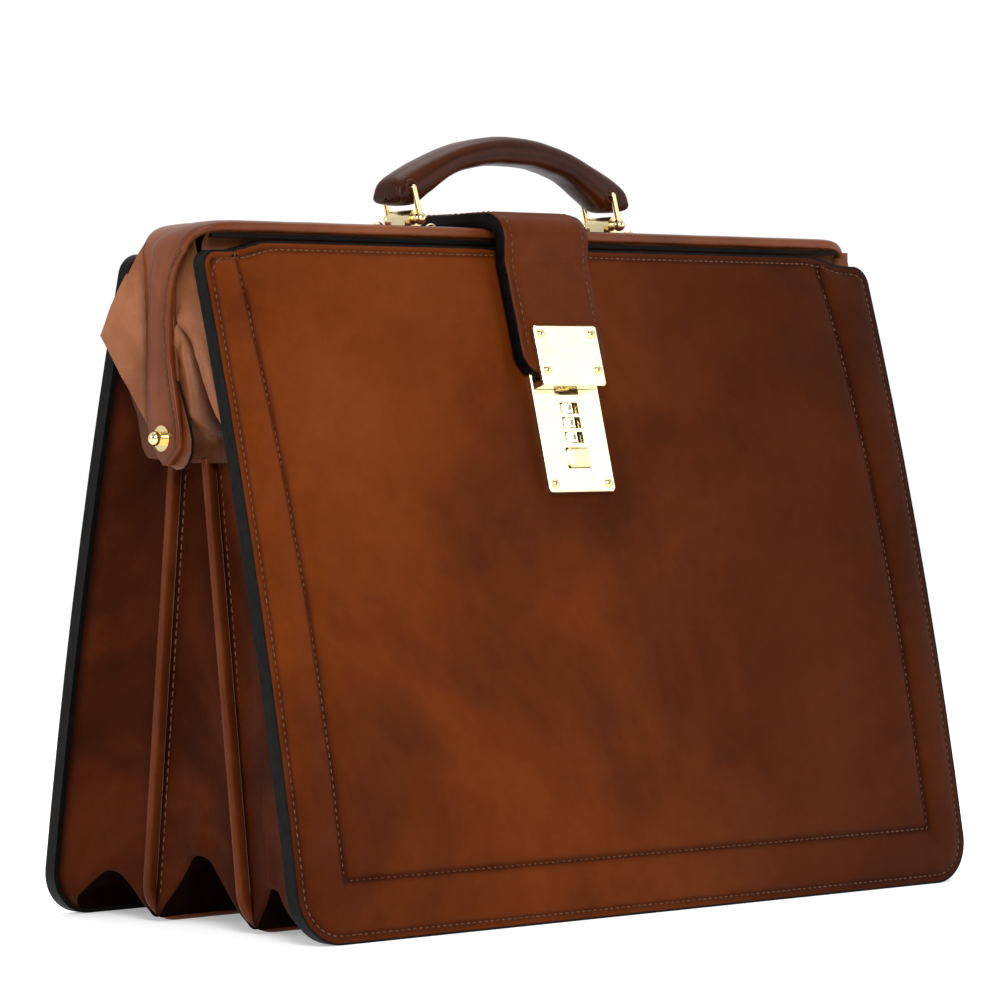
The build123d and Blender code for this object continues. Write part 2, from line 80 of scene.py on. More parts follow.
def leather(name, dark, mid, light, rough=0.38, coat=0.25, grain=900.0, bump=0.12, seam_crease_shade=False, mottling=5.0, wrinkle=0.0, spec=0.10, painted_falloff_shade=False):
    m, nt, b = new_mat(name)
    tc = nt.nodes.new("ShaderNodeTexCoord")
    vec = tc.outputs["Object"]
    big = noise(nt, mottling, 5.0, 0.6, vec, 0.4)
    r = ramp(nt, [(0.30, dark), (0.5, mid), (0.72, light)])
    nt.links.new(big.outputs["Fac"], r.inputs["Fac"])
    fine = noise(nt, 130.0, 6.0, 0.65, vec)
    mix = nt.nodes.new("ShaderNodeMixRGB")
    mix.blend_type = "MULTIPLY"
    mix.inputs["Fac"].default_value = 0.35
    rf = ramp(nt, [(0.35, (0.72, 0.68, 0.66)), (0.65, (1.0, 1.0, 1.0))])
    nt.links.new(fine.outputs["Fac"], rf.inputs["Fac"])
    nt.links.new(r.outputs["Color"], mix.inputs["Color1"])
    nt.links.new(rf.outputs["Color"], mix.inputs["Color2"])
    colour = mix.outputs["Color"]
    if painted_falloff_shade:
        # painted shade: the panel's colour darkens from its left to its right, standing in for the key light
        # falling off across the panel
        sx = nt.nodes.new("ShaderNodeSeparateXYZ")
        nt.links.new(vec, sx.inputs["Vector"])
        mx = nt.nodes.new("ShaderNodeMapRange")
        mx.inputs["From Min"].default_value = -0.24
        mx.inputs["From Max"].default_value = 0.24
        nt.links.new(sx.outputs["X"], mx.inputs["Value"])
        rx = ramp(nt, [(0.0, (1.0, 1.0, 1.0)), (0.45, (0.86, 0.86, 0.86)), (0.68, (0.50, 0.48, 0.48)), (1.0, (0.34, 0.32, 0.32))])
        nt.links.new(mx.outputs["Result"], rx.inputs["Fac"])
        fm = nt.nodes.new("ShaderNodeMixRGB")
        fm.blend_type = "MULTIPLY"
        fm.inputs["Fac"].default_value = 1.0
        nt.links.new(colour, fm.inputs["Color1"])
        nt.links.new(rx.outputs["Color"], fm.inputs["Color2"])
        colour = fm.outputs["Color"]
    # painted shade: the seam_crease_shade attribute darkens the colour in seams, stitch grooves, creases, folds and
    # gaps where shade falls
    if seam_crease_shade:
        at = nt.nodes.new("ShaderNodeAttribute")
        at.attribute_name = "seam_crease_shade"
        dk = nt.nodes.new("ShaderNodeMixRGB")
        dk.blend_type = "MULTIPLY"
        nt.links.new(at.outputs["Fac"], dk.inputs["Fac"])
        nt.links.new(colour, dk.inputs["Color1"])
        dk.inputs["Color2"].default_value = (0.30, 0.24, 0.20, 1)
        colour = dk.outputs["Color"]
    nt.links.new(colour, b.inputs["Base Color"])
    rr = nt.nodes.new("ShaderNodeMapRange")
    rr.inputs["To Min"].default_value = rough - 0.07
    rr.inputs["To Max"].default_value = rough + 0.12
    rn = noise(nt, 22.0, 5.0, 0.6, vec)
    nt.links.new(rn.outputs["Fac"], rr.inputs["Value"])
    nt.links.new(rr.outputs["Result"], b.inputs["Roughness"])
    b.inputs["Coat Weight"].default_value = coat
    b.inputs["Coat Roughness"].default_value = 0.22
    b.inputs["Specular IOR Level"].default_value = spec
    b.inputs["Sheen Weight"].default_value = 0.0
    b.inputs["Sheen Roughness"].default_value = 0.5
    # pores and creases
    vo = nt.nodes.new("ShaderNodeTexVoronoi")
    vo.inputs["Scale"].default_value = grain
    nt.links.new(vec, vo.inputs["Vector"])
    b1 = nt.nodes.new("ShaderNodeBump")
    b1.inputs["Strength"].default_value = bump
    b1.inputs["Distance"].default_value = 0.0004
    nt.links.new(vo.outputs["Distance"], b1.inputs["Height"])
    cr = noise(nt, 60.0 if wrinkle == 0 else 38.0, 7.0, 0.7, vec, 1.2)
    b2 = nt.nodes.new("ShaderNodeBump")
    b2.inputs["Strength"].default_value = 0.10 + wrinkle
    b2.inputs["Distance"].default_value = 0.0025
    nt.links.new(cr.outputs["Fac"], b2.inputs["Height"])
    nt.links.new(b1.outputs["Normal"], b2.inputs["Normal"])
    nt.links.new(b2.outputs["Normal"], b.inputs["Normal"])
    nt.links.new(b2.outputs["Normal"], b.inputs["Coat Normal"])
    return m


def metal(name, colour, rough=0.16, brush=0.0, scratch=0.05):
    m, nt, b = new_mat(name)
    tc = nt.nodes.new("ShaderNodeTexCoord")
    vec = tc.outputs["Object"]
    b.inputs["Metallic"].default_value = 1.0
    n = noise(nt, 60.0, 5.0, 0.6, vec)
    r = ramp(nt, [(0.3, tuple(c * 0.86 for c in colour)), (0.7, colour)])
    nt.links.new(n.outputs["Fac"], r.inputs["Fac"])
    nt.links.new(r.outputs["Color"], b.inputs["Base Color"])
    mr = nt.nodes.new("ShaderNodeMapRange")
    mr.inputs["To Min"].default_value = max(0.03, rough - 0.05)
    mr.inputs["To Max"].default_value = rough + 0.10
    n2 = noise(nt, 260.0, 4.0, 0.6, vec)
    nt.links.new(n2.outputs["Fac"], mr.inputs["Value"])
    nt.links.new(mr.outputs["Result"], b.inputs["Roughness"])
    mp = nt.nodes.new("ShaderNodeMapping")
    mp.inputs["Scale"].default_value = (1.0, 1.0, 40.0) if brush else (1, 1, 1)
    nt.links.new(vec, mp.inputs["Vector"])
    n3 = noise(nt, 500.0, 3.0, 0.6, mp.outputs["Vector"])
    bp = nt.nodes.new("ShaderNodeBump")
    bp.inputs["Strength"].default_value = scratch
    bp.inputs["Distance"].default_value = 0.0003
    nt.links.new(n3.outputs["Fac"], bp.inputs["Height"])
    nt.links.new(bp.outputs["Normal"], b.inputs["Normal"])
    return m


M_PANEL = leather("LeatherPanel", (0.050, 0.0088, 0.0010), (0.116, 0.0220, 0.0020), (0.160, 0.0350, 0.0060), rough=0.46, coat=0.0, seam_crease_shade=True, mottling=6.0, spec=0.035, painted_falloff_shade=True)
M_STRAP = leather("LeatherStrap", (0.055, 0.0100, 0.0012), (0.086, 0.0170, 0.0022), (0.116, 0.0255, 0.0046), rough=0.42, coat=0.01, seam_crease_shade=True, mottling=9.0, spec=0.05)
M_FRAME = leather("LeatherFrame", (0.072, 0.0145, 0.0026), (0.132, 0.0310, 0.0064), (0.200, 0.0530, 0.0150), rough=0.36, coat=0.10, seam_crease_shade=True, mottling=12.0, spec=0.14)
# painted shade: the gusset is the bag's own leather but gets a far darker colour, standing in for the shade on the
# bag's ends and between the ridges
M_GUSSET = leather("LeatherGusset", (0.012, 0.0020, 0.0004), (0.033, 0.0056, 0.0009), (0.070, 0.0135, 0.0029), rough=0.50, coat=0.0, seam_crease_shade=True, mottling=9.0, wrinkle=0.10, spec=0.02)
M_BEAD = leather("LeatherBead", (0.055, 0.0105, 0.0020), (0.090, 0.0185, 0.0036), (0.135, 0.0310, 0.0075), rough=0.36, coat=0.04, seam_crease_shade=True, mottling=14.0, spec=0.08)
# lighter tan of the soft wing leather, partly a painted highlight: its colour is raised to stand in for the light
# the folds catch
M_WING = leather("LeatherWing", (0.140, 0.0430, 0.0150), (0.225, 0.0790, 0.0310), (0.305, 0.1180, 0.0520), rough=0.44, coat=0.06, seam_crease_shade=True, mottling=16.0, wrinkle=0.28, spec=0.16)
M_HANDLE = leather("LeatherHandle", (0.018, 0.0034, 0.0006), (0.036, 0.0072, 0.0012), (0.062, 0.0140, 0.0030), rough=0.34, coat=0.08, seam_crease_shade=True, mottling=16.0, spec=0.08)
M_LINING = leather("LeatherLining", (0.16, 0.085, 0.045), (0.22, 0.125, 0.070), (0.27, 0.160, 0.095), rough=0.75, coat=0.0, mottling=18.0)
M_THREAD, nt_, b_ = new_mat("Thread")
tc_ = nt_.nodes.new("ShaderNodeTexCoord")
n_ = noise(nt_, 300.0, 3.0, 0.6, tc_.outputs["Object"])
r_ = ramp(nt_, [(0.3, (0.050, 0.019, 0.007)), (0.7, (0.125, 0.058, 0.024))])
nt_.links.new(n_.outputs["Fac"], r_.inputs["Fac"])
nt_.links.new(r_.outputs["Color"], b_.inputs["Base Color"])
b_.inputs["Roughness"].default_value = 0.7
b_.inputs["Specular IOR Level"].default_value = 0.2
M_BLACK, nt_, b_ = new_mat("BlackEdge")
tc_ = nt_.nodes.new("ShaderNodeTexCoord")
n_ = noise(nt_, 180.0, 6.0, 0.7, tc_.outputs["Object"])
r_ = ramp(nt_, [(0.35, (0.0015, 0.0013, 0.0013)), (0.75, (0.006, 0.005, 0.0045))])
nt_.links.new(n_.outputs["Fac"], r_.inputs["Fac"])
nt_.links.new(r_.outputs["Color"], b_.inputs["Base Color"])
b_.inputs["Roughness"].default_value = 0.50
b_.inputs["Specular IOR Level"].default_value = 0.06
bp_ = nt_.nodes.new("ShaderNodeBump")
bp_.inputs["Strength"].default_value = 0.5
bp_.inputs["Distance"].default_value = 0.0008
nt_.links.new(n_.outputs["Fac"], bp_.inputs["Height"])
nt_.links.new(bp_.outputs["Normal"], b_.inputs["Normal"])
M_BRASS = metal("Brass", (0.95, 0.74, 0.38), 0.12)
M_BRASS_FACE = metal("BrassFace", (1.0, 0.88, 0.58), 0.20, brush=1.0, scratch=0.05)
M_BRASS_PALE = metal("BrassPale", (0.86, 0.72, 0.42), 0.20)
M_STEEL = metal("Steel", (0.62, 0.62, 0.62), 0.3)
M_DIAL = metal("DialMetal", (0.86, 0.78, 0.60), 0.24)
# painted shade: a near-black material for the faces in the hollow under the gusset's floor pleat, where shadow
# falls
M_UNDER_SHADE, nt_, b_ = new_mat("PaintedShadeUnderside")
tc_ = nt_.nodes.new("ShaderNodeTexCoord")
n_ = noise(nt_, 60.0, 5.0, 0.6, tc_.outputs["Object"])
r_ = ramp(nt_, [(0.3, (0.0024, 0.0010, 0.0006)), (0.7, (0.0070, 0.0024, 0.0010))])
nt_.links.new(n_.outputs["Fac"], r_.inputs["Fac"])
nt_.links.new(r_.outputs["Color"], b_.inputs["Base Color"])
b_.inputs["Roughness"].default_value = 0.9
b_.inputs["Specular IOR Level"].default_value = 0.0
M_INK, nt_, b_ = new_mat("DigitInk")
b_.inputs["Base Color"].default_value = (0.01, 0.01, 0.01, 1)
b_.inputs["Roughness"].default_value = 0.5


def assign(node, mat):
    me = nodes[node].data
    me.materials.clear()
    me.materials.append(mat)


for n in ("front_binding", "back_binding"):
    assign(n, M_BLACK)
for n in ("front_lining", "back_lining", "front_divider", "back_divider"):
    assign(n, M_LINING)
for n in ("front_jaw_steel", "back_jaw_steel"):
    assign(n, M_BLACK)
for n in ("hinge_rivets", "handle_plates", "ring_left", "ring_right", "lock_rivets", "hasp_rivets", "hasp_tongue", "lock_bolt", "dial_shaft", "handle_screws"):
    assign(n, M_BRASS)
for n in ("lock_base", "hasp_plate", "lock_body"):
    assign(n, M_BRASS_FACE)
assign("handle_saddles", M_BRASS_PALE)
assign("lock_button", M_BRASS_PALE)
for i in (1, 2, 3):
    assign(f"lock_dial_{i}", M_DIAL)

# ------------------------------------------------------------------ mesh helpers (millimetres in, metres out)
def make(name, verts, faces, mats, fmat=None, attrs=None, smooth=True):
    me = bpy.data.meshes.new(name)
    v = np.asarray(verts, float) * MM
    me.from_pydata(v.tolist(), [], [list(map(int, f)) for f in faces])
    for m in mats:
        me.materials.append(m)
    if fmat is not None:
        me.polygons.foreach_set("material_index", np.asarray(fmat, np.int32))
    me.polygons.foreach_set("use_smooth", [smooth] * len(me.polygons))
    for k, a in (attrs or {}).items():
        at = me.attributes.new(k, "FLOAT", "POINT")
        at.data.foreach_set("value", np.asarray(a, np.float32))
    me.validate()
    me.update()
    o = bpy.data.objects.new(name, me)
    bpy.context.scene.collection.objects.link(o)
    return o


def grid_faces(ni, nj, wrap_i=False, wrap_j=False, flip=False):
    f = []
    for i in range(ni if wrap_i else ni - 1):
        for j in range(nj if wrap_j else nj - 1):
            a, b = i * nj + j, ((i + 1) % ni) * nj + j
            c, d = ((i + 1) % ni) * nj + (j + 1) % nj, i * nj + (j + 1) % nj
            f.append((a, d, c, b) if flip else (a, b, c, d))
    return f


def wob(p, scale, seed):
    # smooth repeatable unevenness from -1 to 1
    r = np.random.default_rng(seed)
    p = np.asarray(p, float)
    out = np.zeros(p.shape[:-1])
    for k in range(6):
        d = r.normal(size=3)
        d /= np.linalg.norm(d)
        f = (1 + 0.55 * k) / scale * 2 * math.pi * (0.7 + 0.6 * r.random())
        out += np.sin(p @ d * f + r.random() * 6.28) / (1 + 0.6 * k)
    return out / 2.4


def smooth01(t):
    t = np.clip(t, 0, 1)
    return t * t * (3 - 2 * t)


# ------------------------------------------------------------------ the panel's own surface
ARC_Y, ARC_Z, ARC_R = 2410.135979, -394.148364, 2546.523828
PW, PTOP, DROP, SHW, CR = 450.0, 333.0, 5.0, 24.0, 24.0


def face_y(z, depth=0.0):
    return ARC_Y - np.sqrt((ARC_R - depth) ** 2 - (np.asarray(z, float) - ARC_Z) ** 2)


def lean(z):
    return np.arctan2(np.asarray(z, float) - ARC_Z, ARC_Y - face_y(z))


def outline_pts(inset=0.0, n_arc=14):
    h, zt = PW / 2 - inset, PTOP - inset
    zs, r, xs = zt - DROP, CR - inset, PW / 2 - inset - SHW
    pts = []
    for k in range(n_arc + 1):
        a = -math.pi / 2 + math.pi / 2 * k / n_arc
        pts.append((h - r + r * math.cos(a), inset + r + r * math.sin(a)))
    for k in range(n_arc + 1):
        a = math.pi / 2 * k / n_arc
        pts.append((h - 9 + 9 * math.cos(a), zs - 9 + 9 * math.sin(a)))
    for k in range(13):
        t = k / 12
        pts.append((xs + 10 - 30 * t, zs + DROP * float(smooth01(t))))
    left = [(-x, z) for x, z in reversed(pts)]
    return np.array(pts + left)


def poly_dist(px, pz, poly, closed=True):
    # distance to a polyline and which side (positive inside a closed counter-clockwise outline)
    P = np.stack([px, pz], -1)
    best = np.full(px.shape, 1e9)
    inside = np.zeros(px.shape, bool)
    n = len(poly)
    for i in range(n if closed else n - 1):
        a, b = poly[i], poly[(i + 1) % n]
        ab = b - a
        L2 = max(1e-12, float(ab @ ab))
        t = np.clip(((P - a) @ ab) / L2, 0, 1)
        q = a + t[..., None] * ab
        best = np.minimum(best, np.linalg.norm(P - q, axis=-1))
        if closed:
            c = ((a[1] > pz) != (b[1] > pz)) & (px < (b[0] - a[0]) * (pz - a[1]) / ((b[1] - a[1]) if abs(b[1] - a[1]) > 1e-12 else 1e-12) + a[0])
            inside ^= c
    return (np.where(inside, best, -best)) if closed else best


OUTER = outline_pts(0.0)
SEAM = np.array([(-205.5, 327.0), (-203.0, 300.0), (-198.3, 213.0), (-196.2, 120.0), (-195.6, 29.4), (0.0, 29.2), (198.0, 28.8), (198.0, 120.0), (196.4, 223.0), (191.0, 300.0), (187.5, 327.0)])
STITCH_D = 4.3


def panel_n(x, z, field=1.0):
    d = poly_dist(x, z, OUTER)
    ds = poly_dist(x, z, SEAM, closed=False)
    closed_seam = np.vstack([SEAM, [[187.5, 500], [-205.5, 500]]])
    ins = poly_dist(x, z, closed_seam) > 0
    e = d - 0.5
    n = 0.42 - 0.75 * np.exp(-np.clip(e, 0, None) / 0.7)
    n -= 0.55 * np.exp(-(((d - STITCH_D) / 1.3) ** 2))
    q = np.clip((d - STITCH_D) / np.maximum(d - STITCH_D + ds, 1e-6), 0, 1)
    border = 1.9 * (4 * q * (1 - q)) ** 0.75
    inner = 2.6 * (1 - np.exp(-ds / 6.0)) * np.exp(-ds / 48.0) + 0.5 * (1 - np.exp(-ds / 10.0))
    inner = inner * smooth01((d - STITCH_D) / 16.0)
    n = n + np.where(ins, inner, np.where(d > STITCH_D, border, 0.0)) * field
    n -= 0.85 * np.exp(-((ds / 1.5) ** 2)) * (d > STITCH_D - 1)
    p3 = np.stack([x, z, 0 * x], -1)
    n += 0.45 * wob(p3, 130.0, 3) * smooth01(e / 20.0) + 0.16 * wob(p3, 38.0, 5) * smooth01(e / 12.0)
    mask = smooth01((36.0 - np.abs(x + 14.0)) / 10.0) * smooth01((z - 200.0) / 8.0)
    n = n * (1 - mask) + np.minimum(n, 0.0) * mask
    # painted shade in the stitch grooves, along the U seam's crease and at the panel's rim
    seam_crease_shade = np.maximum(np.exp(-(((d - STITCH_D) / 1.4) ** 2)) * 0.8, np.exp(-((ds / 1.6) ** 2)) * (d > STITCH_D - 1))
    seam_crease_shade = np.maximum(seam_crease_shade, 0.9 * np.exp(-np.clip(e, 0, None) / 0.5))
    return n, seam_crease_shade, d


def to3(x, z, n, side):
    a = lean(z)
    y = face_y(z) - n * np.cos(a)
    return np.stack([x, side * -y if side > 0 else y, z + n * np.sin(a)], -1)


STEP = 1.6
stitches = {}


def add_stitches(key, pts, nrm, pitch=3.7, length=2.7, r=0.42, tilt=0.0, lift=0.25):
    # pts: dense polyline, nrm: outward normals at the points
    pts, nrm = np.asarray(pts, float), np.asarray(nrm, float)
    seg = np.linalg.norm(np.diff(pts, axis=0), axis=1)
    s = np.concatenate([[0], np.cumsum(seg)])
    n = int(s[-1] / pitch)
    out = stitches.setdefault(key, [])
    for k in range(n):
        c = (k + 0.5) * s[-1] / n
        P = np.array([np.interp(c, s, pts[:, i]) for i in range(3)])
        Q = np.array([np.interp(min(c + 0.5, s[-1]), s, pts[:, i]) for i in range(3)])
        R = np.array([np.interp(max(c - 0.5, 0), s, pts[:, i]) for i in range(3)])
        N = np.array([np.interp(c, s, nrm[:, i]) for i in range(3)])
        T = Q - R
        T /= max(1e-9, np.linalg.norm(T))
        N = N - (N @ T) * T
        N /= max(1e-9, np.linalg.norm(N))
        Bn = np.cross(N, T)
        T2 = T * math.cos(tilt) + Bn * math.sin(tilt)
        B2 = np.cross(N, T2)
        out.append((P + N * lift, T2, B2, N, length / 2, r))


def stitch_mesh(key, name):
    ring = 6
    stations = [(-1.0, 0.15, -0.9), (-0.82, 0.8, -0.35), (-0.35, 1.0, 0.0), (0.35, 1.0, 0.0), (0.82, 0.8, -0.35), (1.0, 0.15, -0.9)]
    V, F = [], []
    for P, T, B, N, h, r in stitches[key]:
        base = len(V)
        for t, k, dn in stations:
            for j in range(ring):
                a = 2 * math.pi * j / ring
                V.append(P + T * t * h + B * (math.cos(a) * r * k) + N * (math.sin(a) * r * k * 0.8 + dn * r))
        for i in range(len(stations) - 1):
            for j in range(ring):
                F.append((base + i * ring + j, base + i * ring + (j + 1) % ring, base + (i + 1) * ring + (j + 1) % ring, base + (i + 1) * ring + j))
    return make(name, V, F, [M_THREAD])


def resample(poly, step):
    poly = np.asarray(poly, float)
    seg = np.linalg.norm(np.diff(poly, axis=0), axis=1)
    s = np.concatenate([[0], np.cumsum(seg)])
    n = max(2, int(s[-1] / step))
    c = np.linspace(0, s[-1], n)
    return np.stack([np.interp(c, s, poly[:, i]) for i in range(poly.shape[1])], -1)


def panel_skin(name, side, body, node):
    xs = np.arange(-PW / 2, PW / 2 + STEP, STEP)
    zs = np.arange(0, PTOP + STEP, STEP)
    X, Z = np.meshgrid(xs, zs, indexing="ij")
    inner = outline_pts(0.25)
    d = poly_dist(X, Z, inner)
    # pull points just outside onto the outline
    near = (d < 0) & (d > -STEP * 1.5)
    px, pz = X[near], Z[near]
    P = np.stack([px, pz], -1)
    bd, bq = np.full(len(P), 1e9), P.copy()
    for i in range(len(inner)):
        a, b = inner[i], inner[(i + 1) % len(inner)]
        ab = b - a
        t = np.clip(((P - a) @ ab) / max(1e-12, ab @ ab), 0, 1)
        q = a + t[:, None] * ab
        dd = np.linalg.norm(P - q, axis=1)
        m = dd < bd
        bd[m], bq[m] = dd[m], q[m]
    X[near], Z[near] = bq[:, 0], bq[:, 1]
    ok = (d > -STEP * 1.5)
    n, seam_crease_shade, _ = panel_n(X, Z)
    V = to3(X, Z, n, side)
    idx = -np.ones(X.shape, int)
    idx[ok] = np.arange(ok.sum())
    F = []
    ni, nj = X.shape
    inside = d >= 0
    for i in range(ni - 1):
        for j in range(nj - 1):
            q = ((i, j), (i + 1, j), (i + 1, j + 1), (i, j + 1))
            if all(ok[c] for c in q) and sum(bool(inside[c]) for c in q) >= 1:
                if side < 0 and abs(xs[i] + STEP / 2 - (-14.0)) < 16.2 and 216.5 < zs[j] + STEP / 2 < 267.9:
                    continue  # the panel's pocket behind the lock: the dials turn in it
                f = [idx[c] for c in q]
                F.append(f if side < 0 else f[::-1])
    o = make(name, V[ok], F, [M_PANEL], attrs={"seam_crease_shade": seam_crease_shade[ok]})
    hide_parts(node)
    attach(o, body)
    # stitching: round the edge, the U seam and the row under the top edge
    key = name + "_st"
    for poly in (outline_pts(STITCH_D), SEAM):
        p = np.vstack([poly, poly[:1]]) if poly is not SEAM else poly
        p = resample(p, 0.9)
        nn, _, _ = panel_n(p[:, 0], p[:, 1])
        P3 = to3(p[:, 0], p[:, 1], nn, side)
        a = lean(p[:, 1])
        N3 = np.stack([0 * a, side * np.cos(a) if side > 0 else -np.cos(a), np.sin(a)], -1)
        add_stitches(key, P3, N3, lift=0.30)
    s = stitch_mesh(key, name + "_stitches")
    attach(s, body)
    return o


panel_skin("FrontPanelSkin", -1, "front_panel_body", "front_panel")
panel_skin("BackPanelSkin", 1, "back_panel_body", "back_panel")

# ------------------------------------------------------------------ dividers' beaded edges
DIV0, DIVT, DTOP = 40.0, 14.0, 222.0


def div_y(z):
    return DIV0 - (DIV0 - DIVT) / DTOP * np.asarray(z, float)


def u_path(hw, z0, z1, r, step=2.0):
    pts = [(-hw, z1), (-hw, z0 + r)]
    for k in range(1, 13):
        a = math.pi + math.pi / 2 * k / 12
        pts.append((-hw + r + r * math.cos(a), z0 + r + r * math.sin(a)))
    pts.append((hw - r, z0))
    for k in range(1, 13):
        a = -math.pi / 2 + math.pi / 2 * k / 12
        pts.append((hw - r + r * math.cos(a), z0 + r + r * math.sin(a)))
    pts.append((hw, z1))
    return resample(pts, step)


def bead(name, side, node):
    p = u_path(207.6, 3.6, 228.0, 17.0)
    T = np.gradient(p, axis=0)
    T /= np.linalg.norm(T, axis=1)[:, None]
    out = np.stack([T[:, 1], -T[:, 0]], -1)  # pointing away from the bag's middle
    m = 18
    V, S = [], []
    for i in range(len(p)):
        x, z = p[i]
        yc = float(side * div_y(z))
        w = 1 + 0.05 * math.sin(i * 0.31) + 0.04 * math.sin(i * 0.117 + 1)
        for j in range(m):
            a = 2 * math.pi * j / m
            o_ = math.cos(a)
            # teardrop: full at the outer edge, pinched on the stitch line behind it
            half = 3.1 * math.sin(a) * (0.66 + 0.34 * o_) * w if o_ > -0.2 else 3.1 * math.sin(a) * (0.50 + 0.10 * math.cos(3 * a))
            d = 3.5 * o_ - (1.5 if o_ < -0.2 else 0.0)
            V.append((x + out[i, 0] * d, yc + half, z + out[i, 1] * d))
            # painted shade on the pinched back of the bead, in the groove along its stitch line
            S.append(max(0.0, -o_) * 0.8)
    o = make(name, V, grid_faces(len(p), m, wrap_j=True), [M_BEAD], attrs={"seam_crease_shade": S})
    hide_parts(node)
    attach(o, "gusset_core")


bead("FrontBeadSkin", -1, "front_bead")
bead("BackBeadSkin", 1, "back_bead")

# ------------------------------------------------------------------ gusset sections
def gusset(name, node, kind, bodies):
    # one sheet: down the left end, under the floor's pleat, up the right end
    nt_ = 34
    t = np.linspace(0, 1, nt_)
    top = 231.0 if kind == "mid" else 271.0

    def lim(z):
        if kind == "mid":
            return -div_y(z) + 2.2, div_y(z) - 2.2
        a = face_y(np.maximum(z, 1.0), 7.75) + 0.0
        return (a, -div_y(z) - 2.2)

    apex = 34.6 if kind == "mid" else 23.5
    ta = 0.5 if kind == "mid" else 0.52
    # lower edge of the end wall, an upside-down V with a soft nose
    tt = np.where(t < ta, t / ta, (1 - t) / (1 - ta))
    low = 2.0 + (apex - 2.0) * np.where(tt < 0.72, tt, tt - np.maximum(tt - 0.72, 0) ** 2 / 0.56) / 0.86
    rows = []
    zs = np.concatenate([np.linspace(1, 0.25, 40), np.linspace(0.235, 0, 26)])
    R = 5.0

    def edge_x(z):
        # how far out the section may reach along the panel's rounded corner
        zc = np.clip(z, 0.0, 24.0)
        return 201.0 + np.sqrt(np.maximum(576.0 - (24.0 - zc) ** 2, 0.0)) - 3.0

    def wall_x(z, y, bottom):
        dip = (4 * t * (1 - t)) ** 0.8
        fold = 2.6 * np.exp(-(((t - ta) / 0.10) ** 2)) * np.exp(-np.maximum(z - low - R, 0) / 30.0)
        if kind == "mid":
            base = 206.2 + 0 * t
            depth = 4.6 * dip * smooth01((z - 30) / 120) + 1.2 * dip
            depth = depth + 1.5 * np.exp(-((np.minimum(t, 1 - t) / 0.06) ** 2))
        else:
            base = 206.2 + (np.minimum(222.0, edge_x(z)) - 206.2) * np.clip(1 - t, 0, 1) ** 1.25
            depth = 3.2 * dip * smooth01((z - 30) / 120) + 0.8 * dip
            depth = depth + 1.5 * np.exp(-(((1 - t) / 0.06) ** 2))
        x = base - depth + fold
        return x + 0.9 * wob(np.stack([y, z, 0 * z], -1), 70.0, 11 if kind == "mid" else 12) * dip + 0.35 * wob(np.stack([y, z, 0 * z], -1), 24.0, 13) * dip

    for k in zs:
        z = low + R + (top - low - R) * k
        a, b = lim(z)
        y = a + (b - a) * t
        rows.append(np.stack([wall_x(z, y, False), y, z], -1))
    foot = rows[-1][:, 0].copy()
    for k in range(1, 9):
        ang = math.pi / 2 * k / 8
        z = low + R - R * math.sin(ang)
        a, b = lim(z)
        y = a + (b - a) * t
        rows.append(np.stack([np.minimum(foot, edge_x(z) if kind != "mid" else 999.0) - R * (1 - math.cos(ang)), y, z], -1))
    half = rows
    left = [np.stack([-r[:, 0], r[:, 1], r[:, 2]], -1) for r in half]
    last = half[-1]
    mid = []
    for k in range(1, 40):
        u = k / 40
        r = last.copy()
        r[:, 0] = -last[:, 0] + 2 * last[:, 0] * u
        r[:, 2] = last[:, 2] + 0.8 * np.sin(u * 9.0 + t * 3) * (4 * t * (1 - t)) + 0.3
        mid.append(r)
    right = list(reversed(half))
    allr = np.array(left + mid + right)
    ni = allr.shape[0]
    # painted shade along the section's edges, where it meets the dividers and panels
    seam_crease_shade = np.zeros((ni, nt_))
    edge = np.minimum(t, 1 - t)
    seam_crease_shade[:] = (0.95 * np.exp(-((edge / 0.045) ** 2)))[None, :]
    # the faces under the floor's pleat get the near-black painted-shade material
    n_wall = len(half) - 4
    fm = []
    for r_i in range(ni - 1):
        in_under_shade = n_wall <= r_i < ni - 1 - n_wall
        fm += [1 if in_under_shade else 0] * (nt_ - 1)
    V = allr.reshape(-1, 3)
    if kind == "back":
        V = V * np.array([1, -1, 1])
    o = make(name, V, grid_faces(ni, nt_), [M_GUSSET, M_UNDER_SHADE], fmat=fm, attrs={"seam_crease_shade": seam_crease_shade.ravel()})
    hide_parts(node)
    if bodies is None:
        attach(o, "gusset_core")
    else:
        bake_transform(o)
    return o


gusset("GussetMiddleSkin", "gusset_middle", "mid", None)
gusset("GussetFrontSkin", "gusset_front", "front", ("gusset_core", "front_panel_body"))
gusset("GussetBackSkin", "gusset_back", "back", ("gusset_core", "back_panel_body"))

# stitch lines just in front of each bead
for side in (-1, 1):
    for sx in (-1, 1):
        z = np.arange(14.0, 222.0, 1.0)
        for off, key in ((-6.6, "core_st"),):
            y = side * div_y(z) + off
            x = sx * 205.4 + 0 * z
            add_stitches(key, np.stack([x, y, z], -1), np.stack([sx + 0 * z, 0 * z, 0 * z], -1), pitch=4.2, length=3.0, r=0.4, lift=0.0)
so = stitch_mesh("core_st", "GussetStitches")
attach(so, "gusset_core")

